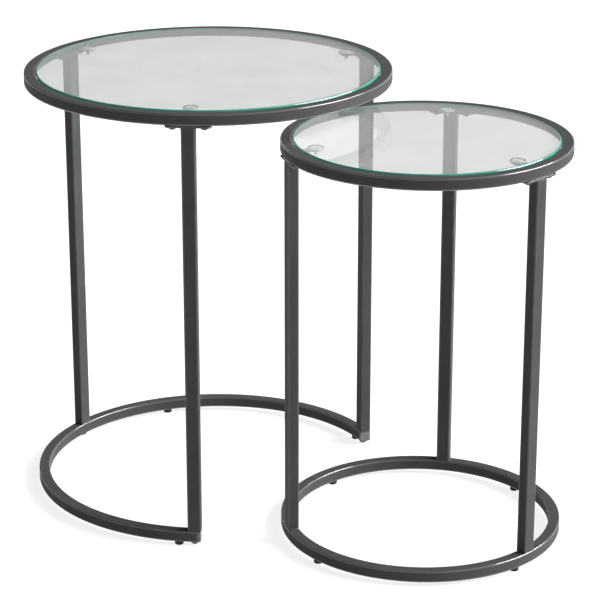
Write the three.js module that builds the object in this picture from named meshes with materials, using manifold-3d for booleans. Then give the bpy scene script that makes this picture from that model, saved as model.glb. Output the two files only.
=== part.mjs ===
// A pair of round nesting side tables: steel tube frames with inset glass tops.
// The large table's base ring is open on one side, so the small table slides in under it.
//
// Millimetres, +Z up. The floor is z = 0 and the origin is under the middle of the pair.
// The small table slides along X: it stands pulled out towards +X and nests towards -X.
// Inside a table's own group the origin is the table's centre on the floor. Angles are in
// degrees about Z, and a piece fixed to a ring is built with its local +X pointing outwards.

import * as THREE from 'three';
import { mergeVertices } from 'three/addons/utils/BufferGeometryUtils.js';
import Module from 'manifold-3d';

const wasm = await Module();
wasm.setup();

// ---- Driving dimensions ----

const CENTRE_DISTANCE = 340; // between the two tables' centres as they stand

const LARGE = {
  name: 'large',
  radius: 250,
  height: 600, // to the top of the glass
  turn: -2, // of the whole table from the slide's direction
  segments: 72,
  legAngles: [60, 180, 300],
  footAngles: [65.1, 143, 217, 294.9],
  openBase: true, // the base ring stops at the first and the last leg
};

const SMALL = {
  name: 'small',
  radius: 190,
  height: 551,
  turn: -11.5,
  segments: 60,
  legAngles: [0, 120, 240],
  footAngles: [83.5, 173.5, 263.5, 353.5],
  openBase: false,
};

const GAP = 0.3; // clearance between pieces that rest on each other
const WALL = 1.2; // of every tube

const RING = { width: 15, height: 15.5, edge: 1.2 };
const LEG = { width: 18.5, depth: 15, edge: 1.5, footPlate: 4 };
const GLASS = { thickness: 5, proud: 1, clearance: 1, edge: 0.8 };
const PLATE = { length: 60, width: 14.4, thickness: 2.5, corner: 4, boltSpacing: 41 };
const TAB = { width: 13, thickness: 2, nose: 8 };
const PAD = { radius: 11, thickness: 2.7, inset: 24, stem: 2.5, stemBelow: 5 };
const FOOT = { radius: 6, height: 6, edge: 1, stem: 2.5, stemLength: 4 };
const PLATE_BOLT = { headRadius: 5.25, headHeight: 3.2, shank: 3, length: 12 };
const BASE_BOLT = { headRadius: 6, headHeight: 4.2, shank: 3, length: 19.5 };
const CAP = { thickness: 2, setback: 0.7, plug: 3 };

const ROUND_SMALL = 12; // sides of bolts, feet and their holes
const ROUND_PAD = 16;

// ---- Materials ----

function paint(name, color, roughness, metalness, opacity = 1) {
  const transparent = opacity < 1;
  return new THREE.MeshStandardMaterial({ name, color, roughness, metalness, opacity, transparent });
}

const frameSteel = () => paint('charcoal_powder_coat', 0x45474a, 0.55, 0.3);
const topGlass = () => paint('clear_glass', 0xdfe9e6, 0.05, 0, 0.35);
const clearSilicone = () => paint('clear_silicone', 0xd5dbd9, 0.35, 0, 0.5);
const blackRubber = () => paint('black_rubber', 0x161616, 0.8, 0);
const blackBolt = () => paint('black_bolt', 0x1d1e20, 0.4, 0.8);

// ---- Solids ----

// Merges equal vertices, drops empty triangles and turns the faces outwards.
function weld(geometry) {
  const bare = geometry.clone();
  bare.deleteAttribute('normal');
  bare.deleteAttribute('uv');
  const merged = mergeVertices(bare, 1e-4);
  const position = merged.attributes.position;
  const corner = [new THREE.Vector3(), new THREE.Vector3(), new THREE.Vector3()];
  const kept = [];
  let volume = 0;
  for (let i = 0; i < merged.index.count; i += 3) {
    const triangle = [0, 1, 2].map((k) => merged.index.getX(i + k));
    if (new Set(triangle).size < 3) continue;
    kept.push(triangle);
    triangle.forEach((vertex, k) => corner[k].fromBufferAttribute(position, vertex));
    volume += corner[0].dot(corner[1].cross(corner[2]));
  }
  const outward = volume > 0 ? kept : kept.map(([a, b, c]) => [a, c, b]);
  merged.setIndex(outward.flat());
  return merged;
}

function solid(geometry) {
  const welded = weld(geometry);
  const vertProperties = new Float32Array(welded.attributes.position.array);
  const triVerts = new Uint32Array(welded.index.array);
  return new wasm.Manifold(new wasm.Mesh({ numProp: 3, vertProperties, triVerts }));
}

function geometryOf(manifold) {
  const mesh = manifold.getMesh();
  const geometry = new THREE.BufferGeometry();
  geometry.setAttribute('position', new THREE.BufferAttribute(mesh.vertProperties, 3));
  geometry.setIndex(new THREE.BufferAttribute(mesh.triVerts, 1));
  return geometry;
}

// Turns [radius, z] points about Z. The outline starts and ends on the axis or closes on itself.
function turned(outline, sides) {
  const points = outline.map(([radius, z]) => new THREE.Vector2(radius, z));
  return new THREE.LatheGeometry(points, sides).rotateX(Math.PI / 2);
}

function prism(shape, bottom, top) {
  const options = { depth: top - bottom, bevelEnabled: false, curveSegments: 2 };
  return new THREE.ExtrudeGeometry(shape, options).translate(0, 0, bottom);
}

function cylinder(radius, bottom, top, x = 0, y = 0) {
  const outline = [[0, bottom], [radius, bottom], [radius, top], [0, top]];
  return turned(outline, ROUND_SMALL).translate(x, y, 0);
}

function roundedRectangle(width, height, corner) {
  const [x, y] = [width / 2 - corner, height / 2 - corner];
  const shape = new THREE.Shape();
  shape.absarc(x, y, corner, 0, Math.PI / 2);
  shape.absarc(-x, y, corner, Math.PI / 2, Math.PI);
  shape.absarc(-x, -y, corner, Math.PI, 1.5 * Math.PI);
  shape.absarc(x, -y, corner, 1.5 * Math.PI, 2 * Math.PI);
  shape.closePath();
  return shape;
}

const radians = THREE.MathUtils.degToRad;

function polar(radius, angle) {
  return [radius * Math.cos(radians(angle)), radius * Math.sin(radians(angle))];
}

// ---- Levels and radii that follow from a table's size ----

function layout(table) {
  const ringTop = table.height - GLASS.proud;
  const ringBottom = ringTop - RING.height;
  const plateTop = ringBottom - GAP;
  const baseTop = FOOT.height + RING.height;
  const padTop = table.height - GLASS.thickness - GAP;
  const innerRadius = table.radius - RING.width;
  const glassRadius = innerRadius - GLASS.clearance;
  return {
    ringBottom,
    plateTop,
    plateBottom: plateTop - PLATE.thickness,
    legTop: plateTop - PLATE.thickness - GAP,
    legBottom: baseTop + GAP,
    baseBottom: FOOT.height,
    padTop,
    tabTop: padTop - PAD.thickness - GAP,
    innerRadius,
    glassRadius,
    middle: table.radius - RING.width / 2,
    padRadius: glassRadius - PAD.inset,
  };
}

// The two bolts of one leg plate stand this far to each side of the leg, along the ring's tangent.
const plateBoltSides = [-PLATE.boltSpacing / 2, PLATE.boltSpacing / 2];

// ---- Pieces ----

function tubeRing(table, bottom) {
  const [outer, inner] = [table.radius, table.radius - RING.width];
  const [top, e] = [bottom + RING.height, RING.edge];
  const skin = [
    [inner + e, bottom], [outer - e, bottom], [outer, bottom + e], [outer, top - e],
    [outer - e, top], [inner + e, top], [inner, top - e], [inner, bottom + e], [inner + e, bottom],
  ];
  const bore = [
    [inner + WALL, bottom + WALL], [outer - WALL, bottom + WALL],
    [outer - WALL, top - WALL], [inner + WALL, top - WALL], [inner + WALL, bottom + WALL],
  ];
  return solid(turned(skin, table.segments)).subtract(solid(turned(bore, table.segments)));
}

function topRing(table) {
  const { ringBottom, middle } = layout(table);
  let ring = tubeRing(table, ringBottom);
  for (const angle of table.legAngles) {
    for (const side of plateBoltSides) {
      const hole = cylinder(PLATE_BOLT.shank + GAP, ringBottom - 1, ringBottom + 3, middle, side);
      ring = ring.subtract(solid(hole.rotateZ(radians(angle))));
    }
  }
  return geometryOf(ring);
}

// The wedge between the first and the last leg, set back so that the caps end just inside the legs.
function openingWedge(table) {
  const setback = LEG.width / 2 - CAP.setback - CAP.thickness - GAP;
  const half = table.legAngles[0];
  const reach = 2 * table.radius;
  const tip = setback / Math.sin(radians(half));
  const [x, y] = polar(reach, half);
  const outline = [[tip, 0], [tip + x, -y], [tip + x + reach, 0], [tip + x, y]];
  const shape = new THREE.Shape(outline.map(([px, py]) => new THREE.Vector2(px, py)));
  return prism(shape, 0, FOOT.height + RING.height + 1);
}

function baseRing(table) {
  const { baseBottom, middle } = layout(table);
  let ring = tubeRing(table, baseBottom);
  for (const angle of table.footAngles) {
    const hole = cylinder(FOOT.stem + GAP, baseBottom - 1, baseBottom + 3, ...polar(middle, angle));
    ring = ring.subtract(solid(hole));
  }
  if (table.openBase) {
    ring = ring.subtract(solid(openingWedge(table)));
    const top = baseBottom + RING.height + 1;
    for (const angle of table.legAngles) {
      const hole = cylinder(BASE_BOLT.shank + GAP, baseBottom - 1, top, ...polar(middle, angle));
      ring = ring.subtract(solid(hole));
    }
  }
  return geometryOf(ring);
}

// Closes one end of the open base ring. It faces local +Y and plugs into the tube towards -Y.
function endCap() {
  const [w, h] = [RING.width, RING.height];
  const hollow = 2 * (WALL + GAP);
  const flange = prism(roundedRectangle(w, h, RING.edge), 0, CAP.thickness);
  const plug = prism(roundedRectangle(w - hollow, h - hollow, RING.edge), -CAP.plug, 0.5);
  return geometryOf(solid(flange).add(solid(plug))).rotateX(-Math.PI / 2);
}

function glassDisc(table) {
  const { glassRadius } = layout(table);
  const [top, bottom, e] = [table.height, table.height - GLASS.thickness, GLASS.edge];
  const outline = [
    [0, bottom], [glassRadius - e, bottom], [glassRadius, bottom + e],
    [glassRadius, top - e], [glassRadius - e, top], [0, top],
  ];
  return turned(outline, table.segments);
}

function leg(table) {
  const { legBottom, legTop, baseBottom } = layout(table);
  const [inner, outer] = [2 * WALL, roundedRectangle(LEG.depth, LEG.width, LEG.edge)];
  const bore = roundedRectangle(LEG.depth - inner, LEG.width - inner, LEG.edge / 2);
  const floor = table.openBase ? legBottom + LEG.footPlate : baseBottom;
  let tube = solid(prism(outer, legBottom, legTop)).subtract(solid(prism(bore, floor, legTop + 1)));
  if (table.openBase) {
    const hole = cylinder(BASE_BOLT.shank + GAP, legBottom - 1, floor + 1);
    tube = tube.subtract(solid(hole));
  }
  return geometryOf(tube);
}

function legPlate(table) {
  const { plateBottom, plateTop } = layout(table);
  const outline = roundedRectangle(PLATE.width, PLATE.length, PLATE.corner);
  let plate = solid(prism(outline, plateBottom, plateTop));
  for (const side of plateBoltSides) {
    const hole = cylinder(PLATE_BOLT.shank + GAP, plateBottom - 1, plateTop + 1, 0, side);
    plate = plate.subtract(solid(hole));
  }
  return geometryOf(plate);
}

// A button-head bolt pointing up: the head's flat side is at seat, and the dome hangs below it.
function bolt({ headRadius, headHeight, shank, length }, seat) {
  const outline = [
    [0, seat - headHeight], [0.5 * headRadius, seat - headHeight],
    [0.88 * headRadius, seat - 0.6 * headHeight], [headRadius, seat], [shank, seat],
    [shank, seat + length], [0, seat + length],
  ];
  return turned(outline, ROUND_SMALL);
}

// A flat bar welded to the ring's inner wall. Its round nose holds the pad's stem.
function glassTab(table) {
  const { innerRadius, padRadius, tabTop } = layout(table);
  const half = TAB.width / 2;
  const root = Math.sqrt((innerRadius - GAP) ** 2 - half ** 2);
  const shape = new THREE.Shape();
  shape.moveTo(root, -half);
  shape.lineTo(root, half);
  shape.absellipse(padRadius, 0, TAB.nose, half, Math.PI / 2, 1.5 * Math.PI);
  shape.closePath();
  const options = { depth: TAB.thickness, bevelEnabled: false, curveSegments: 6 };
  const bar = new THREE.ExtrudeGeometry(shape, options).translate(0, 0, tabTop - TAB.thickness);
  const hole = cylinder(PAD.stem + GAP, tabTop - TAB.thickness - 1, tabTop + 1, padRadius, 0);
  return geometryOf(solid(bar).subtract(solid(hole)));
}

function glassPad(table) {
  const { padTop } = layout(table);
  const bottom = padTop - PAD.thickness;
  const underTab = bottom - 2 * GAP - TAB.thickness;
  const tip = underTab - PAD.stemBelow;
  const outline = [
    [0, tip], [0.7 * PAD.stem, tip], [1.3 * PAD.stem, underTab - 1], [PAD.stem, underTab],
    [PAD.stem, bottom], [PAD.radius - 1.2, bottom], [PAD.radius, bottom + 1],
    [PAD.radius - 0.8, padTop], [0, padTop],
  ];
  return turned(outline, ROUND_PAD);
}

function foot() {
  const { radius, height, edge, stem, stemLength } = FOOT;
  const top = height - GAP;
  const outline = [
    [0, 0], [radius - edge, 0], [radius, edge], [radius, top],
    [stem, top], [stem, top + stemLength], [0, top + stemLength],
  ];
  return turned(outline, ROUND_SMALL);
}

// ---- Assembly ----

function buildTable(table, centreX) {
  const { plateBottom, baseBottom, middle, padRadius } = layout(table);
  const group = new THREE.Group();
  group.position.x = centreX;
  group.rotation.z = radians(table.turn);

  function add(name, geometry, material, x = 0, y = 0, angle = 0) {
    const mesh = new THREE.Mesh(weld(geometry), material);
    mesh.name = `${table.name}_${name}`;
    mesh.geometry.computeVertexNormals();
    mesh.position.set(x, y, 0);
    mesh.rotation.z = radians(angle);
    group.add(mesh);
    return mesh;
  }

  add('top_ring', topRing(table), frameSteel());
  add('glass', glassDisc(table), topGlass());
  add('base_ring', baseRing(table), frameSteel());

  let boltNumber = 0;
  table.legAngles.forEach((angle, i) => {
    const [x, y] = polar(middle, angle);
    add(`leg_${i + 1}`, leg(table), frameSteel(), x, y, angle);
    add(`leg_plate_${i + 1}`, legPlate(table), frameSteel(), x, y, angle);
    add(`tab_${i + 1}`, glassTab(table), frameSteel(), 0, 0, angle);
    add(`pad_${i + 1}`, glassPad(table), clearSilicone(), ...polar(padRadius, angle), angle);
    for (const side of plateBoltSides) {
      boltNumber += 1;
      const geometry = bolt(PLATE_BOLT, plateBottom - GAP).translate(middle, side, 0);
      add(`plate_bolt_${boltNumber}`, geometry, blackBolt(), 0, 0, angle);
    }
    if (table.openBase) {
      add(`base_bolt_${i + 1}`, bolt(BASE_BOLT, baseBottom - GAP), blackBolt(), x, y, angle);
    }
  });

  table.footAngles.forEach((angle, i) => {
    add(`foot_${i + 1}`, foot(), blackRubber(), ...polar(middle, angle), angle);
  });

  if (table.openBase) {
    const face = LEG.width / 2 - CAP.setback - CAP.thickness;
    const ends = [[table.legAngles[0], -1], [table.legAngles.at(-1), 1]];
    ends.forEach(([angle, towards], i) => {
      const geometry = endCap();
      if (towards < 0) geometry.rotateZ(Math.PI);
      geometry.translate(middle, towards * face, baseBottom + RING.height / 2);
      add(`end_cap_${i + 1}`, geometry, frameSteel(), 0, 0, angle);
    });
  }
  return group;
}

const largeX = -(CENTRE_DISTANCE + SMALL.radius - LARGE.radius) / 2;

const group = new THREE.Group();
group.add(buildTable(LARGE, largeX));
group.add(buildTable(SMALL, largeX + CENTRE_DISTANCE));

export default group;
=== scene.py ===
"""A pair of round nesting side tables: powder-coated tube frames with inset glass tops.

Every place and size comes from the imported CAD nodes. The constants below add what the CAD
leaves out: rounder edges, hex sockets, weld beads, dished pads and the finishes. Lengths are
in metres and angles in radians, unless a name ends in _DEG.
"""

import math

import bmesh
import bpy
from mathutils import Matrix, Vector

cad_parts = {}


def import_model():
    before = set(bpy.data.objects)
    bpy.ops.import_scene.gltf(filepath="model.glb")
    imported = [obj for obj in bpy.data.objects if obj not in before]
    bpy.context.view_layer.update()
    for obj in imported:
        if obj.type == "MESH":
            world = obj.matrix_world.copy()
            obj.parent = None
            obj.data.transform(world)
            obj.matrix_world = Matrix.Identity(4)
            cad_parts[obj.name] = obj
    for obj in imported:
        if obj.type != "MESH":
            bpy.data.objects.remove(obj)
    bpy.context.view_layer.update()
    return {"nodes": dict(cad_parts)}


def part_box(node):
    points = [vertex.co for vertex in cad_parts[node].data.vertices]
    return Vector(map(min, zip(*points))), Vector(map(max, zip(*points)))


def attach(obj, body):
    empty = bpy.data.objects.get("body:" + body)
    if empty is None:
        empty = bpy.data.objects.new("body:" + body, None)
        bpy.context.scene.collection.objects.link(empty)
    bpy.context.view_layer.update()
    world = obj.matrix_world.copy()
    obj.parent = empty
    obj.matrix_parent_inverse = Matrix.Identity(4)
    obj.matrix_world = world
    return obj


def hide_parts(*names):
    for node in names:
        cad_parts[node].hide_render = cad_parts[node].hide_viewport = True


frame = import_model()

MM = 0.001
TAU = 2 * math.pi

# Camera
CAMERA_AZIMUTH_DEG = 32.0
CAMERA_ELEVATION_DEG = 19.5
CAMERA_DISTANCE = 3.2
CAMERA_LENS = 140
CAMERA_SENSOR = 36
CAMERA_AIM = Vector((0.0065, 0, 0.2906))

# Light, all from the right of the camera
KEY_AZIMUTH_DEG = CAMERA_AZIMUTH_DEG + 88
EDGE_AZIMUTH_DEG = CAMERA_AZIMUTH_DEG + 115
WORLD_AZIMUTH_DEG = CAMERA_AZIMUTH_DEG + 92
SUN_TARGET = Vector((0, 0, 0.3))
SUN_DISTANCE = 3.0
FLOOR_HALF = 9.0

# Mesh detail
RING_SIDES = 288
ROUND_SIDES = 48
PAD_SIDES = 64
CORNER_STEPS = 5
DOME_STEPS = 8
WELD_STEPS = 18
SUPPORT = 0.7 * MM  # width of the band of wear and painted edge light on a flat beside a rounded edge
SHARP_DEG = 40  # edges that bend more than this are creases
BEND_DEG = 8.8  # edges that bend more get wear and painted edge light; a corner's arc meets a flat with a bend of 9
LEG_WEAR_AND_HIGHLIGHT = 0.35  # the legs' corners get less wear and less painted highlight than the rings'

# Sizes of details that the CAD leaves out
RING_EDGE = 1.5 * MM
LEG_EDGE = 1.8 * MM
LEG_END_EDGE = 0.35 * MM
TUBE_WALL = 1.2 * MM
BORE_EDGE = 0.6 * MM
PLATE_EDGE = 0.4 * MM
PLATE_CORNER = 0.28  # of the plate's width
TAB_EDGE = 0.3 * MM
TAB_NOSE_STEPS = 24
CAP_FLANGE = 2.0 * MM
CAP_EDGE = 0.6 * MM
CAP_PLUG = 3.0 * MM
CAP_PLUG_GAP = 0.3 * MM
GLASS_EDGE = 2.0 * MM
FOOT_EDGE = 1.4 * MM
FOOT_STEM = 2.5 * MM
BOLT_HEAD_HEIGHT = {"plate": 3.2 * MM, "base": 4.2 * MM}
BOLT_SHANK = {"plate": 0.57, "base": 0.5}  # of the head's radius
BOLT_RIM = 0.2 * MM  # height of the head's narrow edge above its dome
BOLT_SOCKET = 2.0 * MM  # from the middle to a flat of the hex
BOLT_SOCKET_MOUTH = 1.28 * BOLT_SOCKET
BOLT_SOCKET_DEPTH = 1.7 * MM
WELD_WIDTH = 1.6 * MM


# ---- Outlines: lists of (x, y) or (radius, z) ----


def arc_points(centre, radius, start, stop, steps):
    """Points on an arc, both ends included."""
    angles = [start + (stop - start) * i / steps for i in range(steps + 1)]
    x, y = centre
    return [(x + radius * math.cos(a), y + radius * math.sin(a)) for a in angles]


def rounded_rectangle(width, height, edge, support=SUPPORT, steps=CORNER_STEPS):
    """An outline round (0, 0), anticlockwise, with support points beside each rounded corner."""
    points = []
    for quarter, (sx, sy) in enumerate(((1, 1), (-1, 1), (-1, -1), (1, -1))):
        start = TAU / 4 * quarter
        corner = (sx * (width / 2 - edge), sy * (height / 2 - edge))
        arc = arc_points(corner, edge, start, start + TAU / 4, steps)
        before = Vector((math.sin(start), -math.cos(start))) * support
        after = Vector((-math.cos(start), -math.sin(start))) * support
        points += [tuple(Vector(arc[0]) + before), *arc, tuple(Vector(arc[-1]) + after)]
    return points


# ---- Meshes: (points, faces) ----


def circle(radius, z, sides=ROUND_SIDES):
    angles = [TAU * i / sides for i in range(sides)]
    return [Vector((radius * math.cos(a), radius * math.sin(a), z)) for a in angles]


def hexagon(flat, z):
    """A loop of points on a hexagon whose flats are that far from its middle."""
    loop = []
    for i in range(ROUND_SIDES):
        a = TAU * i / ROUND_SIDES
        r = flat / math.cos(a % (TAU / 6) - TAU / 12)
        loop.append(Vector((r * math.cos(a), r * math.sin(a), z)))
    return loop


def loft(loops, ring=False, caps=True):
    """The skin through loops of equal length."""
    n, points, faces = len(loops[0]), [p for loop in loops for p in loop], []
    pairs = [(k, k + 1) for k in range(len(loops) - 1)]
    if ring:
        pairs.append((len(loops) - 1, 0))
    for a, b in pairs:
        for i in range(n):
            j = (i + 1) % n
            faces.append((a * n + i, a * n + j, b * n + j, b * n + i))
    if caps and not ring:
        faces.append(tuple(reversed(range(n))))
        faces.append(tuple((len(loops) - 1) * n + i for i in range(n)))
    return points, faces


def turned(outline, sides=ROUND_SIDES):
    """A body turned about z from (radius, z) points that start and end near the axis."""
    return loft([circle(r, z, sides) for r, z in outline])


def swept(outline, radius, z, angles, ring):
    """An outline of (outwards, up) points swept round the z axis at each angle."""
    loops = []
    for a in angles:
        c, s = math.cos(a), math.sin(a)
        loops.append([Vector(((radius + x) * c, (radius + x) * s, z + y)) for x, y in outline])
    return loft(loops, ring=ring, caps=False)


def bevelled_slab(outline_at, z0, z1, edge, steps=3):
    """A flat body whose outline, given as a function of inset, is rounded off at both faces."""
    lower = []
    for i in range(steps + 1):
        a = TAU / 4 * i / steps
        lower.append((edge * (1 - math.sin(a)), z0 + edge * (1 - math.cos(a))))
    middle = [(0.0, z0 + 2 * edge), (0.0, z1 - 2 * edge)] if z1 - z0 > 5 * edge else []
    upper = [(inset, z0 + z1 - z) for inset, z in reversed(lower)]
    levels = lower + middle + upper
    return loft([[Vector((x, y, z)) for x, y in outline_at(inset)] for inset, z in levels])


def join(*parts):
    """Several (points, faces) as one."""
    points, faces = [], []
    for p, f in parts:
        base = len(points)
        points += p
        faces += [tuple(base + i for i in face) for face in f]
    return points, faces


def placed(part, matrix):
    return [matrix @ p for p in part[0]], part[1]


def piece(node, part, material, body, wear):
    """Makes the object that stands for a CAD node, attaches it to its table's body and hides the
    CAD node.
    """
    name = f"{node}_fine"
    mesh = bpy.data.meshes.new(name)
    mesh.from_pydata([tuple(p) for p in part[0]], [], part[1])
    bm = bmesh.new()
    bm.from_mesh(mesh)
    bmesh.ops.remove_doubles(bm, verts=bm.verts, dist=1e-6)
    bmesh.ops.recalc_face_normals(bm, faces=bm.faces)
    mark_edges(bm, wear)
    bm.to_mesh(mesh)
    bm.free()
    mesh.materials.append(material)
    made = bpy.data.objects.new(name, mesh)
    bpy.context.scene.collection.objects.link(made)
    made.modifiers.new("even_normals", "WEIGHTED_NORMAL").keep_sharp = True
    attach(made, body)
    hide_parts(node)
    return made


def mark_edges(bm, level):
    """Smooth faces, sharp creases, and a value of that level along every bend, used as wear and
    as painted edge light and shade.
    """
    wear = bm.verts.layers.float.new("wear")
    for f in bm.faces:
        f.smooth = True
    for e in bm.edges:
        angle = e.calc_face_angle(0.0)
        e.smooth = angle < math.radians(SHARP_DEG)
        if angle > math.radians(BEND_DEG):
            for v in e.verts:
                v[wear] = level


# ---- Materials ----


class Nodes:
    """Short calls for building one material's node tree."""

    def __init__(self, name):
        self.material = bpy.data.materials.new(name)
        self.material.use_nodes = True
        self.tree = self.material.node_tree
        self.tree.nodes.clear()
        self.output = self.add("ShaderNodeOutputMaterial")

    def add(self, kind, **settings):
        node = self.tree.nodes.new(kind)
        for key, value in settings.items():
            setattr(node, key, value)
        return node

    def link(self, source, target):
        self.tree.links.new(source, target)

    def principled(self, **sockets):
        """A shader whose named sockets hold these values; colours are (r, g, b)."""
        shader = self.add("ShaderNodeBsdfPrincipled")
        for key, value in sockets.items():
            if isinstance(value, tuple):
                value = (*value, 1.0)
            shader.inputs[key.replace("_", " ")].default_value = value
        return shader

    def noise(self, scale, detail=2.0, roughness=0.5):
        node = self.add("ShaderNodeTexNoise")
        place = self.add("ShaderNodeTexCoord").outputs["Object"]
        self.link(place, node.inputs["Vector"])
        node.inputs["Scale"].default_value = scale
        node.inputs["Detail"].default_value = detail
        node.inputs["Roughness"].default_value = roughness
        return node.outputs["Fac"]

    def remap(self, source, low, high, to_low, to_high):
        node = self.add("ShaderNodeMapRange")
        self.link(source, node.inputs["Value"])
        limits = {"From Min": low, "From Max": high, "To Min": to_low, "To Max": to_high}
        for key, value in limits.items():
            node.inputs[key].default_value = value
        return node.outputs["Result"]

    def math(self, operation, a, b):
        node = self.add("ShaderNodeMath", operation=operation)
        for value, socket in ((a, node.inputs[0]), (b, node.inputs[1])):
            if isinstance(value, (int, float)):
                socket.default_value = value
            else:
                self.link(value, socket)
        return node.outputs[0]

    def mix(self, factor, a, b):
        node = self.add("ShaderNodeMix", data_type="RGBA")
        self.link(factor, node.inputs["Factor"])
        sockets = {s.name: s for s in node.inputs if s.type == "RGBA"}
        for value, socket in ((a, sockets["A"]), (b, sockets["B"])):
            if isinstance(value, tuple):
                socket.default_value = (*value, 1.0)
            else:
                self.link(value, socket)
        return [s for s in node.outputs if s.type == "RGBA"][0]

    def bump(self, height, strength, distance, under=None):
        node = self.add("ShaderNodeBump")
        self.link(height, node.inputs["Height"])
        node.inputs["Strength"].default_value = strength
        node.inputs["Distance"].default_value = distance
        if under is not None:
            self.link(under, node.inputs["Normal"])
        return node.outputs["Normal"]

    def wear(self):
        return self.add("ShaderNodeAttribute", attribute_name="wear").outputs["Fac"]

    def for_lamps(self, shader, tint):
        """Lets lamp light pass a clear body, so that it casts no dark shadow."""
        clear = self.add("ShaderNodeBsdfTransparent")
        clear.inputs["Color"].default_value = (*tint, 1.0)
        mix = self.add("ShaderNodeMixShader")
        self.link(self.add("ShaderNodeLightPath").outputs["Is Shadow Ray"], mix.inputs[0])
        self.link(shader.outputs[0], mix.inputs[1])
        self.link(clear.outputs[0], mix.inputs[2])
        return mix

    def finish(self, shader):
        self.link(shader.outputs[0], self.output.inputs["Surface"])
        return self.material


def powder_coat():
    """Charcoal powder coat: fine orange peel, faint clouding, and thinner, glossier edges,
    lighter from wear and a painted highlight.
    """
    n = Nodes("charcoal_powder_coat")
    shader = n.principled(Specular_IOR_Level=0.03, Coat_IOR=2.0, Coat_Roughness=0.12)
    cloud = n.remap(n.noise(22, 3), 0.3, 0.7, 0.0, 1.0)
    speckle = n.remap(n.noise(2600, 2), 0.42, 0.72, 0.0, 1.0)
    base = n.mix(cloud, (0.040, 0.0405, 0.042), (0.048, 0.0485, 0.050))
    base = n.mix(n.math("MULTIPLY", speckle, 0.35), base, (0.062, 0.063, 0.065))
    patchy = n.remap(n.noise(160, 4, 0.6), 0.42, 0.68, 0.6, 1.0)
    wear_and_painted_highlight = n.math("MULTIPLY", n.wear(), patchy)
    # painted highlight: edges are coloured lighter, partly as wear and partly to stand in for
    # the light lines along them
    base = n.mix(n.math("MULTIPLY", wear_and_painted_highlight, 0.35), base, (0.06, 0.061, 0.064))
    n.link(base, shader.inputs["Base Color"])
    rough = n.remap(n.noise(420, 3), 0.3, 0.7, 0.48, 0.60)
    rough = n.math("SUBTRACT", rough, n.math("MULTIPLY", wear_and_painted_highlight, 0.12))
    n.link(rough, shader.inputs["Roughness"])
    n.link(wear_and_painted_highlight, shader.inputs["Coat Weight"])
    peel = n.bump(n.noise(900, 2), 0.18, 0.3 * MM)
    grain = n.bump(n.noise(3200, 2), 0.14, 0.1 * MM, under=peel)
    n.link(grain, shader.inputs["Normal"])
    return n.finish(shader)


def top_glass():
    """Clear float glass with a trace of green, a faint film of dust and slow waves."""
    n = Nodes("clear_float_glass")
    shader = n.principled(Roughness=0.0, IOR=1.5, Transmission_Weight=0.87)
    film = n.remap(n.noise(14, 4, 0.6), 0.35, 0.65, 0.0, 1.0)
    base = n.mix(film, (0.635, 0.65, 0.645), (0.675, 0.685, 0.68))
    n.link(base, shader.inputs["Base Color"])
    n.link(n.bump(n.noise(7, 1), 0.03, 1 * MM), shader.inputs["Normal"])
    return n.finish(n.for_lamps(shader, (0.93, 0.96, 0.95)))


def glass_rim():
    """The polished edge of the glass, green where light has travelled far inside it, with a
    faint painted glow.
    """
    n = Nodes("polished_glass_edge")
    # painted glow: a faint green emission stands in for the light gathered inside the glass
    glow = {"Emission_Color": (0.01, 0.42, 0.29), "Emission_Strength": 0.1}
    shader = n.principled(IOR=1.5, Coat_Weight=0.6, Coat_Roughness=0.06, **glow)
    depth = n.remap(n.noise(35, 3), 0.3, 0.7, 0.0, 1.0)
    base = n.mix(depth, (0.008, 0.14, 0.10), (0.02, 0.24, 0.175))
    n.link(base, shader.inputs["Base Color"])
    n.link(n.remap(n.noise(600, 2), 0.3, 0.7, 0.08, 0.2), shader.inputs["Roughness"])
    n.link(n.bump(n.noise(900, 2), 0.05, 0.1 * MM), shader.inputs["Normal"])
    return n.finish(shader)


def silicone():
    """Milky clear silicone, dark where its rolled rim and its recess bend the light."""
    n = Nodes("clear_silicone")
    shader = n.principled(Roughness=0.25, IOR=1.41, Transmission_Weight=0.25)
    milk = n.remap(n.noise(260, 3), 0.3, 0.7, 0.0, 1.0)
    base = n.mix(milk, (0.60, 0.64, 0.63), (0.74, 0.77, 0.76))
    # painted shade: the rolled rim and the recess are coloured near black for the dark outline
    # that their bending of light gives
    base = n.mix(n.wear(), base, (0.02, 0.026, 0.024))
    n.link(base, shader.inputs["Base Color"])
    n.link(n.bump(n.noise(1400, 2), 0.1, 0.1 * MM), shader.inputs["Normal"])
    return n.finish(n.for_lamps(shader, (0.7, 0.75, 0.73)))


def black_steel():
    """Black-oxide bolt steel, mottled, with brighter rubbed edges."""
    n = Nodes("black_oxide_steel")
    shader = n.principled(Metallic=0.9)
    mottle = n.remap(n.noise(700, 3), 0.35, 0.65, 0.0, 1.0)
    rubbed = n.math("MULTIPLY", n.wear(), n.remap(n.noise(500, 3), 0.4, 0.65, 0.0, 0.6))
    base = n.mix(mottle, (0.018, 0.0185, 0.02), (0.04, 0.041, 0.044))
    n.link(n.mix(rubbed, base, (0.16, 0.16, 0.17)), shader.inputs["Base Color"])
    n.link(n.remap(n.noise(1500, 2), 0.3, 0.7, 0.22, 0.36), shader.inputs["Roughness"])
    n.link(n.bump(n.noise(2500, 2), 0.08, 0.05 * MM), shader.inputs["Normal"])
    return n.finish(shader)


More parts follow.
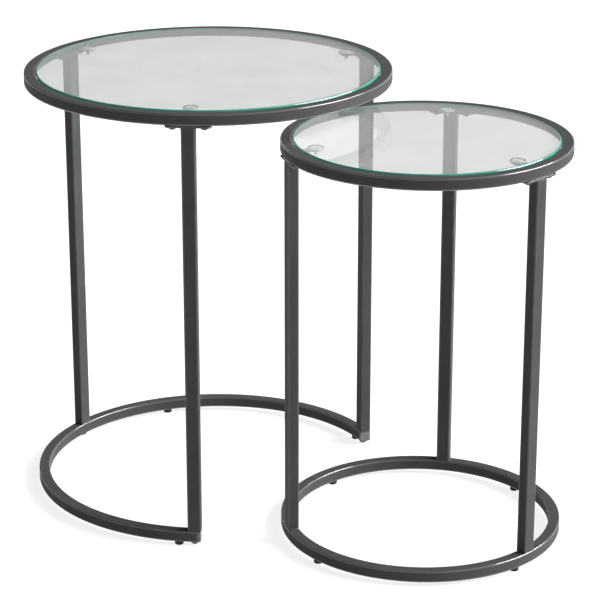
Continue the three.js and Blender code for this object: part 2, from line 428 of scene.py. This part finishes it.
def black_rubber():
    """Matt black moulded rubber with a fine grain and dustier edges."""
    n = Nodes("black_rubber")
    shader = n.principled(Specular_IOR_Level=0.3)
    dust = n.remap(n.noise(180, 4), 0.45, 0.7, 0.0, 0.5)
    dust = n.math("MULTIPLY", dust, n.math("ADD", n.wear(), 0.25))
    base = n.mix(dust, (0.012, 0.012, 0.013), (0.06, 0.06, 0.058))
    n.link(base, shader.inputs["Base Color"])
    n.link(n.remap(n.noise(900, 2), 0.3, 0.7, 0.62, 0.82), shader.inputs["Roughness"])
    n.link(n.bump(n.noise(2200, 3), 0.25, 0.15 * MM), shader.inputs["Normal"])
    return n.finish(shader)


RIM = glass_rim()
FINISHES = {  # by the record's material slots
    "powder_coat": powder_coat(),
    "clear_glass": top_glass(),
    "clear_silicone": silicone(),
    "black_bolt": black_steel(),
    "black_rubber": black_rubber(),
}


# ---- What the CAD says about one table ----


def centre_of(node):
    lo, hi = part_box(node)
    return (lo + hi) / 2


def span_z(node):
    lo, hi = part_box(node)
    return lo.z, hi.z


def radii(node, axis):
    """(smallest, largest) distance of a node's points from a vertical axis."""
    away = [(v.co - axis).xy.length for v in frame["nodes"][node].data.vertices]
    return min(away), max(away)


def node_names(start):
    return sorted(n for n in frame["nodes"] if n.startswith(start) and n[len(start):].isdigit())


class Table:
    """One table's vertical axis and its rings' radii, and places given from that axis."""

    def __init__(self, name):
        self.name, self.body = name, f"{name}_table"
        self.axis = centre_of(f"{name}_top_ring")
        self.axis.z = 0.0
        self.inner, self.outer = radii(f"{name}_top_ring", self.axis)
        self.middle = (self.inner + self.outer) / 2
        self.open = f"{name}_end_cap_1" in frame["nodes"]

    def angle(self, node):
        to = centre_of(node) - self.axis
        return math.atan2(to.y, to.x)

    def at(self, angle, radius=0.0):
        """The matrix of a place on a radius, with local x outwards."""
        turn = Matrix.Rotation(angle, 4, "Z")
        return Matrix.Translation(self.axis) @ turn @ Matrix.Translation((radius, 0, 0))

    def place(self, node):
        """The matrix of a node's middle, seen from above, with local x outwards."""
        return self.at(self.angle(node), (centre_of(node) - self.axis).xy.length)

    def extent(self, node, matrix):
        """The lowest and highest (x, y) of a node's points in a matrix's own coordinates."""
        back = matrix.inverted()
        local = [back @ v.co for v in frame["nodes"][node].data.vertices]
        xs, ys = [p.x for p in local], [p.y for p in local]
        return Vector((min(xs), min(ys))), Vector((max(xs), max(ys)))

    def size(self, node):
        """A node's size outwards (x) and along the ring (y)."""
        return 2 * self.extent(node, self.place(node))[1]

    def nearest_leg(self, node):
        legs = node_names(f"{self.name}_leg_")
        return min(legs, key=lambda leg: (centre_of(leg) - centre_of(node)).xy.length)

    def add(self, node, part, slot, matrix=None, wear=1.0):
        part = placed(part, matrix or Matrix.Translation(self.axis))
        return piece(node, part, FINISHES[slot], self.body, wear)


# ---- Pieces ----


def ring(table, node):
    """A closed ring of square tube."""
    z0, z1 = span_z(node)
    outline = rounded_rectangle(table.outer - table.inner, z1 - z0, RING_EDGE)
    angles = [TAU * i / RING_SIDES for i in range(RING_SIDES)]
    part = swept(outline, table.middle, (z0 + z1) / 2, angles, ring=True)
    table.add(node, part, "powder_coat")


def open_ring(table, node):
    """A ring of square tube that stops at each end cap, hollow behind the caps."""
    z0, z1 = span_z(node)
    z, width, height = (z0 + z1) / 2, table.outer - table.inner, z1 - z0
    start, stop = sorted(end_angle(table, cap) for cap in node_names(f"{table.name}_end_cap_"))
    steps = int(RING_SIDES * (stop - start) / TAU)
    angles = [start + (stop - start) * i / steps for i in range(steps + 1)]
    outline = rounded_rectangle(width, height, RING_EDGE)
    bore = rounded_rectangle(width - 2 * TUBE_WALL, height - 2 * TUBE_WALL, BORE_EDGE, 0.5 * MM)
    skins = [swept(o, table.middle, z, angles, ring=False) for o in (outline, bore)]
    points, faces = join(*skins)
    table.add(node, (points, faces + end_rims(len(bore), len(angles))), "powder_coat")


def end_angle(table, cap):
    """The angle, from 0 to a full turn, at which the tube meets an end cap."""
    leg = table.nearest_leg(cap)
    along = (table.at(table.angle(leg)).inverted() @ centre_of(cap)).y
    return (table.angle(leg) + math.asin(along / table.middle)) % TAU


def end_rims(n, count):
    """Faces that join the outer and the inner skin of a tube at both of its ends."""
    inner = n * count
    faces = []
    for loop in (0, count - 1):
        for i in range(n):
            a, b = loop * n + i, loop * n + (i + 1) % n
            faces.append((a, inner + a, inner + b, b))
    return faces


def glass(table):
    """A round pane with rounded edges, whose rim has its own green material."""
    node = f"{table.name}_glass"
    z0, z1 = span_z(node)
    radius, e = radii(node, table.axis)[1], GLASS_EDGE
    flat = [0.05 * radius, 0.6 * radius, radius - 1.3 * e]
    outline = [(r, z0) for r in flat]
    outline += arc_points((radius - e, z0 + e), e, -TAU / 4, 0, 5)
    outline += arc_points((radius - e, z1 - e), e, 0, TAU / 4, 5)
    outline += [(r, z1) for r in reversed(flat)]
    made = table.add(node, turned(outline, RING_SIDES), "clear_glass")
    made.data.materials.append(RIM)
    for face in made.data.polygons:
        face.material_index = int((face.center - table.axis).xy.length > radius - 0.95 * e)


def leg(table, node):
    """A rectangular tube with weld beads at its plate and, on a closed base, at the ring."""
    size = table.size(node)

    def outline(by):
        edge = max(LEG_EDGE - by, 0.3 * MM)
        return rounded_rectangle(size.x - 2 * by, size.y - 2 * by, edge)

    parts = [bevelled_slab(outline, *span_z(node), LEG_END_EDGE)]
    parts.append(weld(size, span_z(node.replace("leg", "leg_plate"))[0], -1))
    if not table.open:
        parts.append(weld(size, span_z(f"{table.name}_base_ring")[1], 1))
    table.add(node, join(*parts), "powder_coat", table.place(node), wear=LEG_WEAR_AND_HIGHLIGHT)


def weld(size, z, up):
    """Rippled welds on the two sides of a leg that face along the ring, at height z."""
    half = size.x / 2 - LEG_EDGE
    beads = []
    for side in (-1, 1):
        loops = []
        for i in range(WELD_STEPS + 1):
            t = 2 * i / WELD_STEPS - 1
            ripple = 0.93 + 0.07 * math.cos(math.pi * i)
            reach = WELD_WIDTH * ripple * (1 - 0.5 * t**6)
            section = [(-0.2 * MM, -0.1 * MM)] + arc_points((0, 0), reach, 0, TAU / 4, 12)
            y = side * size.y / 2
            loops.append([Vector((t * half, y + side * o, z + up * h)) for o, h in section])
        beads.append(loft(loops))
    return join(*beads)


def leg_plate(table, node):
    size = table.size(node)
    corner = PLATE_CORNER * size.x

    def outline(by):
        width, length = size.x - 2 * by, size.y - 2 * by
        return rounded_rectangle(width, length, corner - by, support=0.5 * MM, steps=8)

    part = bevelled_slab(outline, *span_z(node), PLATE_EDGE)
    table.add(node, part, "powder_coat", table.place(node))


def bolt(table, node):
    """A button-head bolt with a hex socket in its dome, which faces down."""
    z0, z1 = span_z(node)
    radius = table.size(node).x / 2
    kind = "base" if "base" in node else "plate"
    shank, head = BOLT_SHANK[kind] * radius, z0 + BOLT_HEAD_HEIGHT[kind]
    rim = head - BOLT_RIM
    loops = [circle(shank, z1), circle(shank, head)]
    loops += [circle(radius - 0.15 * MM, head), circle(radius, rim)]
    for i in range(1, DOME_STEPS):
        a = TAU / 4 * i / DOME_STEPS
        r = radius * math.cos(a) ** 0.8
        if r > 1.1 * BOLT_SOCKET_MOUTH:
            loops.append(circle(r, rim - (rim - z0) * math.sin(a)))
    loops += [circle(BOLT_SOCKET_MOUTH, z0), hexagon(BOLT_SOCKET, z0 + 0.15 * MM)]
    bottom = hexagon(BOLT_SOCKET, z0 + BOLT_SOCKET_DEPTH)
    drill_point = [p * 0.35 + Vector((0, 0, 0.65 * p.z + 0.25 * MM)) for p in bottom]
    table.add(node, loft(loops + [bottom, drill_point]), "black_bolt", table.place(node))


def tab(table, node):
    """A flat bar from the ring's inner wall to its round nose under the pad."""
    turn = table.at(table.angle(node))
    low, high = table.extent(node, turn)
    pad_radius = (centre_of(node.replace("tab", "pad")) - table.axis).xy.length

    def outline(by):
        points = [(high.x - by, -high.y + by), (high.x - by, high.y - by)]
        for i in range(TAB_NOSE_STEPS + 1):
            a = TAU / 4 + TAU / 2 * i / TAB_NOSE_STEPS
            nose = (pad_radius - low.x - by) * math.cos(a)
            points.append((pad_radius + nose, (high.y - by) * math.sin(a)))
        return points

    part = bevelled_slab(outline, *span_z(node), TAB_EDGE, steps=2)
    table.add(node, part, "powder_coat", turn)


def pad(table, node):
    """A dished silicone disc with a rolled rim, and a stem with a barb below the tab."""
    z0, z1 = span_z(node)
    radius = table.size(node).x / 2
    tab_lo, tab_hi = span_z(node.replace("pad", "tab"))
    neck, under = 2.4 * MM, tab_hi + 0.3 * MM
    tip = [(0.4 * MM, z0), (1.5 * MM, z0 + 0.1 * MM), (1.9 * MM, z0 + 0.6 * MM)]
    barb = [(3.1 * MM, tab_lo - 1.4 * MM), (3.2 * MM, tab_lo - 0.9 * MM)]
    stem = [(neck, tab_lo - 0.4 * MM), (neck, under), (radius - 1.2 * MM, under)]
    rim = arc_points((radius - 0.9 * MM, under + 0.9 * MM), 0.9 * MM, -TAU / 6, TAU / 12, 5)
    rim += arc_points((radius - 1.1 * MM, z1 - 0.6 * MM), 0.6 * MM, TAU / 24, TAU / 4, 4)
    dish = [(radius - 2.0 * MM, 0.0), (radius - 3.0 * MM, 0.8), (radius - 3.6 * MM, 0.85)]
    recess = [(0.26 * radius, 0.9), (0.2 * radius, 0.95), (0.16 * radius, 1.5)]
    top = [(r, z1 - depth * MM) for r, depth in dish + recess + [(0.02 * radius, 1.55)]]
    part = turned(tip + barb + stem + rim + top, PAD_SIDES)
    table.add(node, part, "clear_silicone", table.place(node))


def foot(table, node):
    """A round rubber glide with a dimpled sole and a stem up into the ring."""
    z0, z1 = span_z(node)
    radius, e = table.size(node).x / 2, FOOT_EDGE
    top = span_z(f"{table.name}_base_ring")[0] - 0.05 * MM
    sole = [(0.5 * MM, z0 + 0.4 * MM), (0.5 * radius, z0 + 0.4 * MM), (0.6 * radius, z0)]
    side = arc_points((radius - e, z0 + e), e, -TAU / 4, 0, 5)
    side += [(radius, top - 0.4 * MM), (radius - 0.3 * MM, top)]
    stem = [(FOOT_STEM, top), (FOOT_STEM, z1), (0.5 * MM, z1)]
    table.add(node, turned(sole + side + stem), "black_rubber", table.place(node))


def end_cap(table, node):
    """A flange over the tube's end, beside the nearest leg, with a plug into the bore."""
    z0, z1 = span_z(node)
    turn = table.at(table.angle(table.nearest_leg(node)))
    low, high = table.extent(node, turn)
    width, height = high.x - low.x, z1 - z0
    sign = 1 if abs(high.y) > abs(low.y) else -1
    bore = 2 * (TUBE_WALL + CAP_PLUG_GAP)

    def flange_outline(by):
        return rounded_rectangle(width - 2 * by, height - 2 * by, RING_EDGE - 0.5 * by)

    def plug_outline(by):
        return rounded_rectangle(width - bore - 2 * by, height - bore - 2 * by, CAP_EDGE)

    flange = bevelled_slab(flange_outline, -CAP_FLANGE, 0.0, CAP_EDGE)
    plug = bevelled_slab(plug_outline, -CAP_FLANGE - CAP_PLUG, -CAP_FLANGE, 0.2 * MM)
    face = Vector(((low.x + high.x) / 2, high.y if sign > 0 else low.y, (z0 + z1) / 2))
    to_face = Matrix.Translation(face) @ Matrix.Rotation(-sign * TAU / 4, 4, "X")
    table.add(node, join(flange, plug), "powder_coat", turn @ to_face)


MAKERS = {
    "leg": leg, "leg_plate": leg_plate, "plate_bolt": bolt, "base_bolt": bolt,
    "tab": tab, "pad": pad, "foot": foot, "end_cap": end_cap,
}


def build(table):
    ring(table, f"{table.name}_top_ring")
    (open_ring if table.open else ring)(table, f"{table.name}_base_ring")
    glass(table)
    for kind, make in MAKERS.items():
        for node in node_names(f"{table.name}_{kind}_"):
            make(table, node)


for table_name in ("large", "small"):
    build(Table(table_name))


# ---- Studio ----


def direction(azimuth_deg, elevation_deg):
    """The way to a point in the sky; azimuth 0 is on the -y side and 90 on the +x side."""
    a, e = math.radians(azimuth_deg), math.radians(elevation_deg)
    return Vector((math.sin(a) * math.cos(e), -math.cos(a) * math.cos(e), math.sin(e)))


def aimed(name, data, way, distance, target):
    """An object that looks at the target from a distance."""
    made = bpy.data.objects.new(name, data)
    made.location = target + way * distance
    made.rotation_euler = way.to_track_quat("Z", "Y").to_euler()
    bpy.context.scene.collection.objects.link(made)
    return made


def camera():
    data = bpy.data.cameras.new("camera")
    data.lens, data.sensor_width = CAMERA_LENS, CAMERA_SENSOR
    way = direction(CAMERA_AZIMUTH_DEG, CAMERA_ELEVATION_DEG)
    bpy.context.scene.camera = aimed("camera", data, way, CAMERA_DISTANCE, CAMERA_AIM)


def sun(name, azimuth_deg, elevation_deg, strength, width_deg):
    """Soft light that is the same all over the floor."""
    data = bpy.data.lights.new(name, "SUN")
    data.energy, data.angle = strength, math.radians(width_deg)
    aimed(name, data, direction(azimuth_deg, elevation_deg), SUN_DISTANCE, SUN_TARGET)


def world(bright, dim):
    """White light from the right that dims to the left; the camera sees plain white."""
    made = bpy.data.worlds.new("studio")
    bpy.context.scene.world = made
    made.use_nodes = True
    tree = made.node_tree
    tree.nodes.clear()
    place = tree.nodes.new("ShaderNodeTexCoord")
    dot = tree.nodes.new("ShaderNodeVectorMath")
    dot.operation = "DOT_PRODUCT"
    dot.inputs[1].default_value = direction(WORLD_AZIMUTH_DEG, 0)
    ramp = tree.nodes.new("ShaderNodeMapRange")
    ramp.interpolation_type = "SMOOTHSTEP"
    limits = {"From Min": -0.2, "From Max": 0.8, "To Min": dim, "To Max": bright}
    for key, value in limits.items():
        ramp.inputs[key].default_value = value
    rays = tree.nodes.new("ShaderNodeLightPath")
    seen = tree.nodes.new("ShaderNodeMix")
    seen.inputs["B"].default_value = 1.0
    background = tree.nodes.new("ShaderNodeBackground")
    output = tree.nodes.new("ShaderNodeOutputWorld")
    for source, target in (
        (place.outputs["Generated"], dot.inputs[0]),
        (dot.outputs["Value"], ramp.inputs["Value"]),
        (rays.outputs["Is Camera Ray"], seen.inputs["Factor"]),
        (ramp.outputs["Result"], seen.inputs["A"]),
        (seen.outputs["Result"], background.inputs["Strength"]),
        (background.outputs[0], output.inputs["Surface"]),
    ):
        tree.links.new(source, target)


def floor():
    """A plain white floor that gives off some light, so that shadows on it stay faint."""
    mesh = bpy.data.meshes.new("floor")
    h = FLOOR_HALF
    mesh.from_pydata([(-h, -h, 0), (h, -h, 0), (h, h, 0), (-h, h, 0)], [], [(0, 1, 2, 3)])
    made = bpy.data.objects.new("floor", mesh)
    n = Nodes("white_floor")
    matt = {"Roughness": 0.9, "Specular_IOR_Level": 0.1, "Base_Color": (0.27, 0.27, 0.27)}
    glow = {"Emission_Color": (1.0, 1.0, 1.0), "Emission_Strength": 0.8}
    mesh.materials.append(n.finish(n.principled(**matt, **glow)))
    bpy.context.scene.collection.objects.link(made)


camera()
world(bright=1.1, dim=0.21)
floor()
sun("key", KEY_AZIMUTH_DEG, elevation_deg=32, strength=7.4, width_deg=36)
sun("edge", EDGE_AZIMUTH_DEG, elevation_deg=28, strength=1.4, width_deg=12)
bpy.context.scene.view_settings.view_transform = "Standard"
